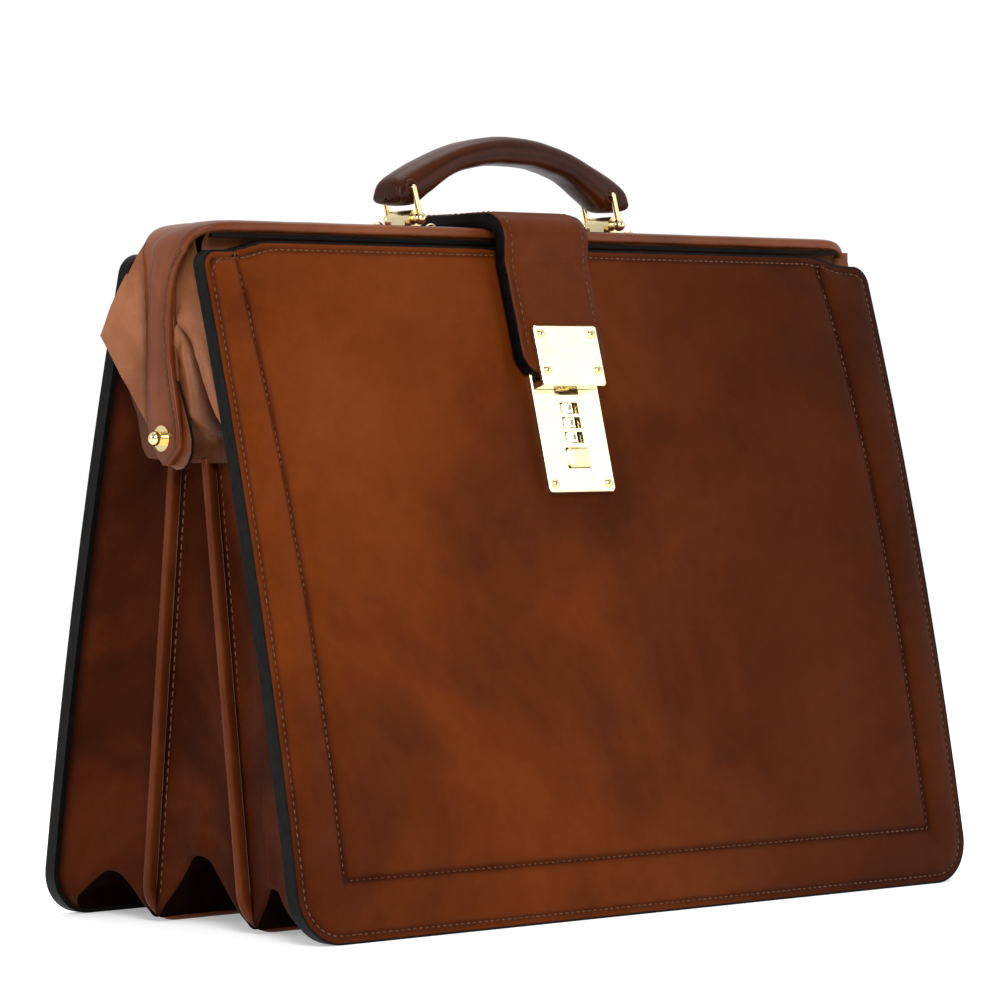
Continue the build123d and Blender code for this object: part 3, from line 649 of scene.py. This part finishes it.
# ------------------------------------------------------------------ jaws: leather wrapped U strips
def strip_u(name, node, body, outer_x, top_z, ylo, yhi, ylo_bar, yhi_bar, th_arm, th_bar, z_low, mat, mirror_y=False, round_end=True):
    rx, rz = (30.0, 15.0)
    path = []
    nrm = []
    zs = np.linspace(z_low, top_z - rz, 46)
    for z in zs:
        path.append((-outer_x, z)); nrm.append((-1.0, 0.0))
    for k in range(1, 21):
        a = math.pi / 2 * k / 20
        path.append((-outer_x + rx - rx * math.cos(a), top_z - rz + rz * math.sin(a) + 1.6 * math.sin(math.pi * k / 20) ** 2 * (k > 0)))
        ln = math.hypot(rz * math.cos(a), rx * math.sin(a))
        nrm.append((-math.cos(a) * rz / ln, math.sin(a) * rx / ln))
    for x in np.linspace(-outer_x + rx, outer_x - rx, 90)[1:-1]:
        path.append((x, top_z)); nrm.append((0.0, 1.0))
    n_half = 46 + 20
    full = path + [(-x, z) for x, z in reversed(path[:n_half])]
    fn = nrm + [(-a, b) for a, b in reversed(nrm[:n_half])]
    V, S, m = [], [], 28
    for i, ((x, z), (nx, nz)) in enumerate(zip(full, fn)):
        k = min(i, len(full) - 1 - i)
        if k < 46:
            lo, hi = float(np.interp(z, ylo[0], ylo[1])), float(np.interp(z, yhi[0], yhi[1]))
            th = th_arm
        else:
            u = float(smooth01((k - 46) / 16.0))
            zl = top_z - rz
            lo0, hi0 = float(np.interp(zl, ylo[0], ylo[1])), float(np.interp(zl, yhi[0], yhi[1]))
            lo, hi = lo0 + (ylo_bar - lo0) * u, hi0 + (yhi_bar - hi0) * u
            th = th_arm + (th_bar - th_arm) * u
        c, w = (lo + hi) / 2, (hi - lo) / 2
        crown = 0.5
        if k < 4 and round_end:
            w *= (0.25, 0.62, 0.82, 0.94)[k]
        for j in range(m):
            a = 2 * math.pi * j / m
            ca, sa = math.cos(a), math.sin(a)
            # rounded bar section
            yy = c + w * math.copysign(abs(ca) ** 0.35, ca)
            d = -th / 2 + th / 2 * math.copysign(abs(sa) ** 0.55, sa) + (crown * (1 - abs(ca)) if sa > 0 else 0)
            V.append([x + nx * d, yy, z + nz * d])
            # painted shade in the stitch grooves along both sides of the strip's top face
            S.append(0.7 * math.exp(-(((abs(yy - c) - (w - 2.6)) / 0.9) ** 2)) if sa > 0 else 0.0)
    V = np.array(V)
    V += 0.22 * wob(V, 40.0, 21)[:, None] * np.array([0.3, 1, 0.6])
    ni = len(full)
    F = grid_faces(ni, m, wrap_j=True, flip=True)
    F.append(tuple(range(m)))
    F.append(tuple(reversed(range((ni - 1) * m, ni * m))))
    if mirror_y:
        V = V * np.array([1, -1, 1])
        F = [tuple(reversed(f)) for f in F]
    o = make(name, V, F, [mat], attrs={"seam_crease_shade": S})
    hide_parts(node)
    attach(o, body)
    return o


front_lo = ([224, 229, 232.6, 240, 247, 261, 276, 295, 309.5, 318, 324, 328], [-8.0, -10.5, -12.6, -12.4, -11.2, -8.2, -4.9, -4.4, -6.2, -9.6, -14.0, -18.5])
front_hi = ([226, 231, 236, 242, 257, 296, 320, 334], [6.0, 8.6, 10.5, 13.6, 13.8, 12.4, 10.4, 8.0])
strip_u("FrontJawSkin", "front_jaw", "front_jaw_body", 224.4, 342.6, front_lo, front_hi, -26.4, -5.25, 3.7, 5.4, 225.0, M_FRAME)
back_lo = ([226, 232, 240, 250, 262, 300, 318, 328], [-6.0, -10.0, -14.0, -17.5, -19.8, -20.0, -20.8, -22.5])
back_hi = ([226, 232, 240, 262, 300, 318, 328], [8.0, 11.5, 12.0, 6.0, 2.0, 3.0, 5.0])
strip_u("BackJawSkin", "back_jaw", "back_jaw_body", 220.1, 342.5, back_lo, back_hi, -27.2, 5.05, 3.5, 5.3, 226.2, M_FRAME, mirror_y=True)

# stitches along the outer arms of the front jaw and down the back wings
for sx in (-1, 1):
    z = np.arange(232.0, 330.0, 1.0)
    for tab, off in ((front_lo, 2.6),):
        y = np.interp(z, tab[0], tab[1]) + off
        add_stitches("jaw_st", np.stack([sx * (224.7 + 0 * z), y, z], -1), np.stack([sx + 0 * z, 0 * z, 0 * z], -1), pitch=4.0, length=2.8, r=0.36, lift=0.05)
    z = np.arange(250.0, 327.0, 1.0)
    add_stitches("wing_st", np.stack([sx * (221.0 + 0 * z), 24.4 + 0 * z, z], -1), np.stack([sx + 0 * z, 0 * z, 0 * z], -1), pitch=3.8, length=2.7, r=0.36, lift=0.0)
so = stitch_mesh("wing_st", "BackWingStitches")
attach(so, "back_jaw_body")
so = stitch_mesh("jaw_st", "FrontJawStitches")
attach(so, "front_jaw_body")

# ------------------------------------------------------------------ wings and top flaps of soft leather
def lerp(a, b, t):
    a, b = np.asarray(a, float), np.asarray(b, float)
    return a + (b - a) * np.asarray(t)[..., None]


def wing(name, node, side, sx):
    # worked out on the right-hand end with the front at positive Y, then mirrored into place
    if side > 0:
        # back: one flat fold whose point sticks out past the panel
        nu, nv = 44, 96
        T = np.linspace(0, 1, nu)
        tip = (230.5, 42.5, 288.5)
        A = lerp((219.0, 21.0, 333.5), tip, T)
        A[:, 0] += 2.4 * np.sin(np.pi * T) ** 0.8  # out past the panel's bound edge
        B = lerp((219.5, 19.0, 243.0), tip, T ** 0.9)
        Uo = lerp((214.0, 20.0, 334.0), (219.0, 33.0, 306.0), T)
        W = lerp((207.0, 12.0, 231.0), (216.0, 39.5, 262.0), T)
        D = lerp((203.0, 12.0, 226.0), (212.0, 47.0, 230.0), T)
        P = np.zeros((nu, nv, 3))
        for j in range(nv):
            q = j / (nv - 1)
            if q < 0.14:
                P[:, j] = Uo + (A - Uo) * (q / 0.14)
            elif q < 0.80:
                f = (q - 0.14) / 0.66
                P[:, j] = A + (B - A) * f
                span = (1 - T) * (4 * f * (1 - f)) ** 0.6
                P[:, j, 0] += 3.4 * span * np.sin(np.pi * np.clip(T * 1.15, 0, 1)) ** 0.8
                # drawn-in creases next to the seam
                near = np.exp(-((T - 0.16) / 0.16) ** 2)
                zz = P[:, j, 2]
                P[:, j, 0] += near * np.sin(np.pi * f) ** 2 * (0.55 * np.sin(zz * 0.62 + T * 9) + 0.35 * np.sin(zz * 1.13 - T * 14 + 1.3))
            elif q < 0.92:
                P[:, j] = B + (W - B) * ((q - 0.80) / 0.12) ** 0.85
            else:
                P[:, j] = W + (D - W) * ((q - 0.92) / 0.08)
        # round the folds off
        for _ in range(3):
            P[:, 1:-1] = 0.25 * P[:, :-2] + 0.5 * P[:, 1:-1] + 0.25 * P[:, 2:]
        P[..., 0] += 0.5 * wob(P, 24.0, 31) * (4 * T * (1 - T))[:, None] ** 0.5
        # painted shade at the wing's seam and on its lower part, tucked in under the fold
        seam_crease_shade = np.repeat((0.5 * np.exp(-((T / 0.05) ** 2)))[:, None], nv, 1)
        vq = np.linspace(0, 1, nv)[None, :]
        seam_crease_shade = np.maximum(seam_crease_shade, 0.95 * smooth01((vq - 0.82) / 0.06))
    else:
        nu, nv = 72, 130
        t = np.linspace(0, 1, nu)
        v = np.linspace(0, 1, nv)
        T, Vv = np.meshgrid(t, v, indexing="ij")
        Z = 336.0 + (226.0 - 336.0) * Vv
        yp = -face_y(np.clip(Z, 0, 331), 7.8)
        ya = -3.0 + 9.0 * smooth01((Z - 308) / 26.0) + 0 * Z
        Y = ya + (yp - ya) * T
        cz = [226, 244, 259, 271, 283, 291, 296, 340]
        Yv = np.interp(Z, cz, [33.5, 29.2, 23.9, 19.3, 13.9, 7.5, 5.0, 5.0])
        dep = np.interp(Z, cz, [15.0, 15.5, 13.5, 11.0, 7.5, 3.2, 0.0, 0.0])
        wd = np.interp(Z, cz, [11.0, 7.0, 4.2, 2.8, 2.0, 1.5, 1.4, 1.4])
        X = 216.5 + 4.5 * T
        # skin above the fold falls slightly inwards
        X = X - 2.2 * np.sin(np.pi * T) * smooth01((Z - 296) / 16.0)
        valley = dep * np.exp(-np.abs((Y - Yv) / wd) ** 1.7)
        # crest of the fold, an arch over the crease
        cy = np.array([-3.0, 4.4, 6.1, 10.0, 14.1, 21.0, 28.3, 40.0])
        czt = np.array([270.0, 290.4, 295.0, 296.8, 296.0, 291.0, 283.5, 262.0])
        crest = np.interp(Y, cy, czt)
        X = X + 3.6 * np.exp(-(((Z - crest + 2.0) / 5.5) ** 2)) * np.clip(np.sin(np.pi * np.clip(T, 0.02, 0.98)) * 1.6, 0, 1)
        lobe = np.exp(-(((Y - Yv - wd - 5.0) / 5.0) ** 2)) * smooth01((292 - Z) / 16.0)
        X = X + 2.4 * lobe - valley
        lob2 = np.exp(-(((Y - Yv + wd + 4.0) / 4.5) ** 2)) * smooth01((290 - Z) / 16.0)
        X = X + 2.0 * lob2
        low = smooth01((250.0 - Z) / 16.0) * np.sin(np.pi * np.clip(T, 0, 1)) ** 0.5
        X = X * (1 - low) + (207.0 + 6.0 * T) * low
        P = np.stack([X, Y, Z], -1)
        P[..., 0] += 0.5 * wob(P, 22.0, 32) * (4 * T * (1 - T)) ** 0.5
        # painted shade in the crease of the pleat's valley and on the lower part under the overhanging pleat
        seam_crease_shade = np.clip(valley / 9.0, 0, 1) ** 0.8
        seam_crease_shade = np.maximum(seam_crease_shade, 0.9 * smooth01((246 - Z) / 14.0))
    Vx = P.reshape(-1, 3) * np.array([sx, side, 1])
    F = grid_faces(nu, nv, flip=(sx * side > 0))
    o = make(name, Vx, F, [M_WING], attrs={"seam_crease_shade": seam_crease_shade.ravel()})
    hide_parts(node)
    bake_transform(o)
    return o


for sx, nm in ((-1, "left"), (1, "right")):
    wing(f"WingFront_{nm}", f"wing_front_{nm}", -1, sx)
    wing(f"WingBack_{nm}", f"wing_back_{nm}", 1, sx)

# the loose lower end of the inner arm, flaring out under the rivet
for sx in (-1, 1):
    pts = [(0.0, 284.0), (-3.5, 270.0), (-9.5, 256.6), (-15.0, 246.0), (-19.2, 237.3), (-19.6, 231.0), (-16.8, 226.4), (-12.0, 224.0), (-5.0, 223.2), (2.0, 226.0), (4.0, 262.0), (4.0, 282.0)]
    n = len(pts)
    V, F = [], []
    for lay, xo in enumerate((220.2, 218.6)):
        for (y, z) in pts:
            flare = max(0.0, (262 - z) / 38.0) * max(0.0, (-y - 6) / 12.0)
            V.append((sx * (xo + 2.6 * flare), y, z))
    F.append(tuple(range(n)))
    F.append(tuple(reversed(range(n, 2 * n))))
    for i in range(n):
        F.append((i, (i + 1) % n, n + (i + 1) % n, n + i))
    fm = [0, 1] + [1] * n
    o = make(f"ArmFlap_{'left' if sx < 0 else 'right'}", V, F, [M_FRAME, M_BLACK], fmat=fm, smooth=False)
    bv = o.modifiers.new("b", "BEVEL")
    bv.width = 0.0005
    bv.segments = 2
    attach(o, "back_jaw_body")

# soft hinge strips between each bar and its panel
def top_gusset(name, side):
    xs = np.linspace(-214, 214, 120)
    ts = np.linspace(0, 1, 12)
    V = []
    for x in xs:
        for t in ts:
            a = math.pi * t
            # from the bar's lower front edge, a small loop in, to the panel's inner side
            y0, z0 = 23.0, 337.2
            y1, z1 = 22.9, 322.0
            y = y0 + (y1 - y0) * t - 5.0 * math.sin(a)
            z = z0 + (z1 - z0) * t
            V.append((x, side * (y + 0.5 * math.sin(x * 0.11)), z))
    # painted shade: the whole hinge strip is darkened, as it sits in the dark gap under the bar
    o = make(name, V, grid_faces(len(xs), len(ts), flip=side > 0), [M_WING], attrs={"seam_crease_shade": np.full(len(V), 0.6)})
    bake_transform(o)


top_gusset("TopHingeFront", -1)
top_gusset("TopHingeBack", 1)

# ------------------------------------------------------------------ strap
SX, SW, ST = -14.0, 56.0, 8.6
lo_z = 342.9


def arc_pts(cy, cz, r, a0, a1, n):
    return [(cy + r * math.cos(math.radians(a0 + (a1 - a0) * k / n)), cz + r * math.sin(math.radians(a0 + (a1 - a0) * k / n))) for k in range(n + 1)]


# inner line of the strap (against the bag) from the back panel to the hasp
line = []
for z in np.arange(262.0, 331.0, 3.0):
    line.append((float(-face_y(z)) + 0.6, z))
line += arc_pts(25.0, 335.0, 8.3, 8, 88, 8)
line += [(22.0, lo_z + 0.3), (12.0, lo_z), (0.0, lo_z), (-12.0, lo_z), (-22.0, lo_z + 0.1), (-26.5, lo_z)]
line += arc_pts(-27.5, lo_z - 7.2, 7.0, 92, 176, 9)
for z in (330.0, 324.0, 318.0, 310.0, 300.0, 290.0, 280.0, 270.0, 266.0):
    a = float(lean(z))
    y = min(float(face_y(z)) - 1.5 * math.cos(a), -34.55)
    line.append((y, z))
line = resample(np.array(line), 1.5)
Tn = np.gradient(line, axis=0)
Tn /= np.linalg.norm(Tn, axis=1)[:, None]
Nn = np.stack([Tn[:, 1], -Tn[:, 0]], -1)   # away from the bag
if Nn[len(Nn) // 2, 1] < 0:
    Nn = -Nn
S_line = np.concatenate([[0], np.cumsum(np.linalg.norm(np.diff(line, axis=0), axis=1))])
S_end = S_line[-1]


def strap_piece(name, i0, i1, cap0, cap1, node_list, place):
    V, F, FM, SM = [], [], [], []
    nu = 20
    us = np.linspace(-1, 1, nu)
    cols = []
    # section: top surface with rounded shoulders, two black sides, underside
    prof = []
    for u in us:
        h = ST - 1.0 * abs(u) ** 10 - 0.5 * math.exp(-(((abs(u) * SW / 2 - (SW / 2 - 4.2)) / 1.1) ** 2))
        # the fourth value is painted shade in the stitch grooves along the strap's top
        prof.append((u * SW / 2, h, 0, 0.75 * math.exp(-(((abs(u) * SW / 2 - (SW / 2 - 4.2)) / 1.2) ** 2))))
    prof.append((SW / 2 + 0.25, ST - 2.0, 1, 0.0))
    prof.append((SW / 2 + 0.45, ST / 2, 1, 0.0))
    prof.append((SW / 2 + 0.2, 0.6, 1, 0.0))
    prof.append((SW / 2 - 0.6, 0.0, 1, 0.0))
    prof.append((-SW / 2 + 0.6, 0.0, 1, 0.0))
    prof.append((-SW / 2 - 0.2, 0.6, 1, 0.0))
    prof.append((-SW / 2 - 0.45, ST / 2, 1, 0.0))
    prof.append((-SW / 2 - 0.25, ST - 2.0, 1, 0.0))
    m = len(prof)
    for i in range(i0, i1 + 1):
        y, z = line[i]
        ny, nz = Nn[i]
        rest = S_end - S_line[i]
        start = S_line[i]
        # rounded ends
        w = 1.0
        for q, rr in ((rest, 13.0), (start, 13.0)):
            if q < rr:
                w = min(w, 1 - (13.0 / (SW / 2)) * (1 - math.sqrt(max(0.0, 1 - ((rr - q) / rr) ** 2))))
        puff = 1.0 + 0.02 * math.sin(i * 0.4)
        for (u, h, mm_, s_) in prof:
            V.append((SX + u * w, y + ny * h * puff, z + nz * h * puff))
            SM.append(s_)
    ni = i1 - i0 + 1
    for i in range(ni - 1):
        for j in range(m):
            a, b = i * m + j, (i + 1) * m + j
            c, d = (i + 1) * m + (j + 1) % m, i * m + (j + 1) % m
            F.append((a, d, c, b))
            FM.append(0 if j < nu - 1 or j == m - 5 else 1)
    if cap0:
        F.append(tuple(range(m))); FM.append(1)
    if cap1:
        F.append(tuple(reversed(range((ni - 1) * m, ni * m)))); FM.append(1)
    o = make(name, V, F, [M_STRAP, M_BLACK], fmat=FM, attrs={"seam_crease_shade": SM})
    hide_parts(*node_list)
    place(o)
    # its stitches
    key = name + "_st"
    for u in (-(SW / 2 - 4.2), SW / 2 - 4.2):
        pts, nr = [], []
        for i in range(i0, i1 + 1):
            if S_end - S_line[i] < 14 or S_line[i] < 8:
                continue
            y, z = line[i]
            ny, nz = Nn[i]
            pts.append((SX + u, y + ny * (ST - 0.45), z + nz * (ST - 0.45)))
            nr.append((0, ny, nz))
        if len(pts) > 3:
            add_stitches(key, pts, nr, pitch=3.9, length=2.8, r=0.4, lift=0.1)
    s = stitch_mesh(key, name + "_stitches")
    place(s)


def at_y(y0, top=True):
    idx = [i for i in range(len(line)) if line[i][1] > 341.5]
    return min(idx, key=lambda i: abs(line[i][0] - y0))


iA, iB = at_y(12.0), at_y(-15.0)


strap_piece("StrapBackSkin", 0, iA, True, False, ["strap_tail"], lambda o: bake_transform(o))
strap_piece("StrapTopSkin", iA, iB, False, False, ["strap_base", "strap_top"], lambda o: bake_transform(o))
strap_piece("StrapEndSkin", iB, len(line) - 1, False, True, ["strap_end"], lambda o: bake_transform(o))

# ------------------------------------------------------------------ handle
hc, hy = -4.7, 2.0
ex_l, ex_r, ez = -74.641105, 60.358895, 363.054813


def handle():
    # centre line of an arch, with padded D section and flattened ends that hold the rings
    top_pts = np.array([(-78.6, 359.2), (-77.6, 366.4), (-70.8, 371.6), (-57.5, 378.0), (-38.5, 385.4), (-19.5, 390.0), (0.0, 391.7), (19.5, 390.0), (38.5, 385.4), (57.5, 378.0), (70.8, 371.6), (77.6, 366.4), (78.6, 359.2)])
    bot_pts = np.array([(-77.6, 355.4), (-73.0, 354.4), (-64.0, 354.9), (-55.0, 360.6), (-39.0, 370.4), (-20.0, 375.4), (0.0, 376.8), (20.0, 375.4), (39.0, 370.4), (55.0, 360.6), (64.0, 354.9), (73.0, 354.4), (77.6, 355.4)])

    def curve(pts, n):
        # smooth curve through the points
        out = []
        P = np.vstack([2 * pts[0] - pts[1], pts, 2 * pts[-1] - pts[-2]])
        per = n // (len(pts) - 1)
        for i in range(1, len(P) - 2):
            for k in range(per):
                t = k / per
                p0, p1, p2, p3 = P[i - 1], P[i], P[i + 1], P[i + 2]
                out.append(0.5 * ((2 * p1) + (-p0 + p2) * t + (2 * p0 - 5 * p1 + 4 * p2 - p3) * t * t + (-p0 + 3 * p1 - 3 * p2 + p3) * t ** 3))
        out.append(pts[-1])
        return np.array(out)

    A, B = curve(top_pts, 144), curve(bot_pts, 144)
    n = len(A)
    m = 36
    V, S = [], []
    for i in range(n):
        s = i / (n - 1) * 2 - 1
        mid, d = (A[i] + B[i]) / 2, (A[i] - B[i])
        hgt = np.linalg.norm(d) / 2
        up = d / (2 * hgt)
        # half width: full in the middle, drawn in at the tips
        wy = 10.9 * (1 - 0.05 * smooth01((abs(s) - 0.70) / 0.2)) * math.sqrt(max(0.0, 1 - max(0.0, (abs(s) - 0.955) / 0.047) ** 2))
        sc = math.sqrt(max(0.0, 1 - max(0.0, (abs(s) - 0.965) / 0.037) ** 2))
        for j in range(m):
            a = 2 * math.pi * j / m
            ca, sa = math.cos(a), math.sin(a)
            if sa >= 0:
                yy = wy * math.copysign(abs(ca) ** 0.72, ca)
                hh = hgt * abs(sa) ** 0.80
            else:
                yy = wy * math.copysign(abs(ca) ** 0.62, ca)
                hh = -hgt * abs(sa) ** 0.62 * 0.99
            # seam ridge low on each side
            ridge = 0.5 * math.exp(-(((a - math.pi * 1.0) / 0.16) ** 2)) + 0.5 * math.exp(-((a / 0.16) ** 2)) + 0.5 * math.exp(-(((a - 2 * math.pi) / 0.16) ** 2))
            yy += math.copysign(ridge, ca)
            p = mid + up * hh * sc
            V.append((hc + p[0], hy + yy * max(sc, 0.02), p[1]))
            # painted shade along the seam creases low on each side
            S.append(min(0.85, 0.9 * math.exp(-(((abs(math.sin(a / 1.0)) - 0.12) / 0.08) ** 2)) if True else 0))
    V = np.array(V)
    V += 0.18 * wob(V, 30.0, 41)[:, None]
    F = grid_faces(n, m, wrap_j=True)
    F.append(tuple(reversed(range(m))))
    F.append(tuple(range((n - 1) * m, n * m)))
    o = make("HandleSkin", V, F, [M_HANDLE], attrs={"seam_crease_shade": S})
    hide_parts("handle_grip")
    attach(o, "handle_body")
    # raised leather rims round the ring holes
    for ex in (ex_l, ex_r):
        for yy in (hy - 10.2, hy + 10.2):
            VV, nn, mm_ = [], 28, 10
            for i in range(nn):
                a = 2 * math.pi * i / nn
                for j in range(mm_):
                    b = 2 * math.pi * j / mm_
                    rr = 3.3 + 1.15 * math.cos(b)
                    VV.append((ex + rr * math.cos(a), yy + 1.3 * math.sin(b), ez + rr * math.sin(a)))
            t = make(f"HandleEye_{'l' if ex < 0 else 'r'}_{'f' if yy < hy else 'b'}", VV, grid_faces(nn, mm_, wrap_i=True, wrap_j=True), [M_HANDLE], attrs={"seam_crease_shade": np.zeros(len(VV))})
            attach(t, "handle_body")


handle()

# ------------------------------------------------------------------ digits on the dials
lock_a = math.radians(14.387309958663)
Lo = np.array([-14.0, -56.5631, 238.61])
U, Vd, Nd = np.array([1.0, 0, 0]), np.array([0, math.sin(lock_a), math.cos(lock_a)]), np.array([0, -math.cos(lock_a), math.sin(lock_a)])
for i, v in enumerate((12.2, 4.6, -3.0)):
    parts_v, parts_f = [], []
    for k in range(10):
        cu = bpy.data.curves.new(f"tmp{i}{k}", "FONT")
        cu.body = str(k)
        cu.size = 3.7
        cu.align_x = "CENTER"
        cu.align_y = "CENTER"
        cu.extrude = 0.06
        ob = bpy.data.objects.new(f"tmp{i}{k}", cu)
        bpy.context.scene.collection.objects.link(ob)
        bpy.context.view_layer.update()
        me = bpy.data.meshes.new_from_object(ob)
        co = np.array([q.co for q in me.vertices], float)
        ang = 2 * math.pi * k / 10
        base = len(parts_v)
        for c in co:
            th = ang + c[0] * 0.62 / 4.2
            rr = 4.28 + c[2]
            p = Lo + Vd * (v + c[1] * 0.95) + Nd * (0.9 + rr * math.cos(th)) + U * (rr * math.sin(th))
            parts_v.append(p)
        for pl in me.polygons:
            parts_f.append([base + q for q in pl.vertices])
        bpy.data.objects.remove(ob)
        bpy.data.meshes.remove(me)
        bpy.data.curves.remove(cu)
    o = make(f"DialDigits_{i + 1}", parts_v, parts_f, [M_INK], smooth=False)
    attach(o, f"dial_{i + 1}_body")

# ------------------------------------------------------------------ stage: floor, light, camera
me = bpy.data.meshes.new("Floor")
me.from_pydata([(-30, -30, 0), (30, -30, 0), (30, 30, 0), (-30, 30, 0)], [], [(0, 1, 2, 3)])
floor = bpy.data.objects.new("Floor", me)
bpy.context.scene.collection.objects.link(floor)
mf, ntf, bf = new_mat("FloorPaper")
bf.inputs["Base Color"].default_value = (0.90, 0.90, 0.90, 1)
bf.inputs["Emission Color"].default_value = (1.0, 1.0, 1.0, 1)
bf.inputs["Emission Strength"].default_value = 0.34
bf.inputs["Roughness"].default_value = 0.65
bf.inputs["Specular IOR Level"].default_value = 0.2
me.materials.append(mf)

world = bpy.data.worlds.new("World")
bpy.context.scene.world = world
world.use_nodes = True
bg = world.node_tree.nodes["Background"]
wnt = world.node_tree
wtc = wnt.nodes.new("ShaderNodeTexCoord")
dot = wnt.nodes.new("ShaderNodeVectorMath")
dot.operation = "DOT_PRODUCT"
wnt.links.new(wtc.outputs["Generated"], dot.inputs[0])
dot.inputs[1].default_value = (0.64, 0.74, 0.20)
wr = wnt.nodes.new("ShaderNodeValToRGB")
wr.color_ramp.elements[0].position = 0.30
wr.color_ramp.elements[0].color = (0.26, 0.26, 0.27, 1)
wr.color_ramp.elements[1].position = 0.72
wr.color_ramp.elements[1].color = (1.0, 1.0, 1.0, 1)
wm = wnt.nodes.new("ShaderNodeMapRange")
wm.inputs["From Min"].default_value = -1.0
wm.inputs["From Max"].default_value = 1.0
wnt.links.new(dot.outputs["Value"], wm.inputs["Value"])
wnt.links.new(wm.outputs["Result"], wr.inputs["Fac"])
wnt.links.new(wr.outputs["Color"], bg.inputs["Color"])
bg.inputs["Strength"].default_value = 1.02


def area(name, loc, target, size, power, size_y=None):
    l = bpy.data.lights.new(name, "AREA")
    l.shape = "RECTANGLE"
    l.size = size
    l.size_y = size_y or size
    l.energy = power
    o = bpy.data.objects.new(name, l)
    bpy.context.scene.collection.objects.link(o)
    o.location = loc
    d = Vector(target) - Vector(loc)
    o.rotation_euler = d.to_track_quat("-Z", "Y").to_euler()
    return o


area("Key", (-1.25, -1.75, 1.35), (-0.05, 0, 0.15), 1.0, 44.0)
area("Side", (-1.9, 0.5, 0.9), (-0.2, 0, 0.2), 0.7, 9.0, 1.0)
area("Top", (0.3, 0.4, 1.9), (0, 0, 0.3), 1.2, 14.0)
area("Card", (1.43, -1.66, 0.60), (0.02, -0.05, 0.20), 1.5, 9.0)

f_px, cx_, cy_, cz_, yaw, pitch, roll = 4385.52, -1481.23, -1706.91, 234.91, math.radians(40.75), math.radians(-0.76), math.radians(-0.52)
fwd = Vector((math.sin(yaw) * math.cos(pitch), math.cos(yaw) * math.cos(pitch), math.sin(pitch)))
right = Vector((math.cos(yaw), -math.sin(yaw), 0))
up = right.cross(fwd)
c_, s_ = math.cos(roll), math.sin(roll)
r2, u2 = c_ * right + s_ * up, -s_ * right + c_ * up
cam_data = bpy.data.cameras.new("Camera")
cam_data.sensor_width = 36.0
cam_data.sensor_fit = "HORIZONTAL"
cam_data.lens = f_px / 1000.0 * 36.0
cam_data.clip_end = 100.0
cam = bpy.data.objects.new("Camera", cam_data)
bpy.context.scene.collection.objects.link(cam)
m3 = Matrix((r2, u2, -fwd)).transposed().to_4x4()
m3.translation = Vector((cx_, cy_, cz_)) * MM
cam.matrix_world = m3
bpy.context.scene.camera = cam
bpy.context.scene.view_settings.view_transform = "Standard"

bpy.context.view_layer.update()
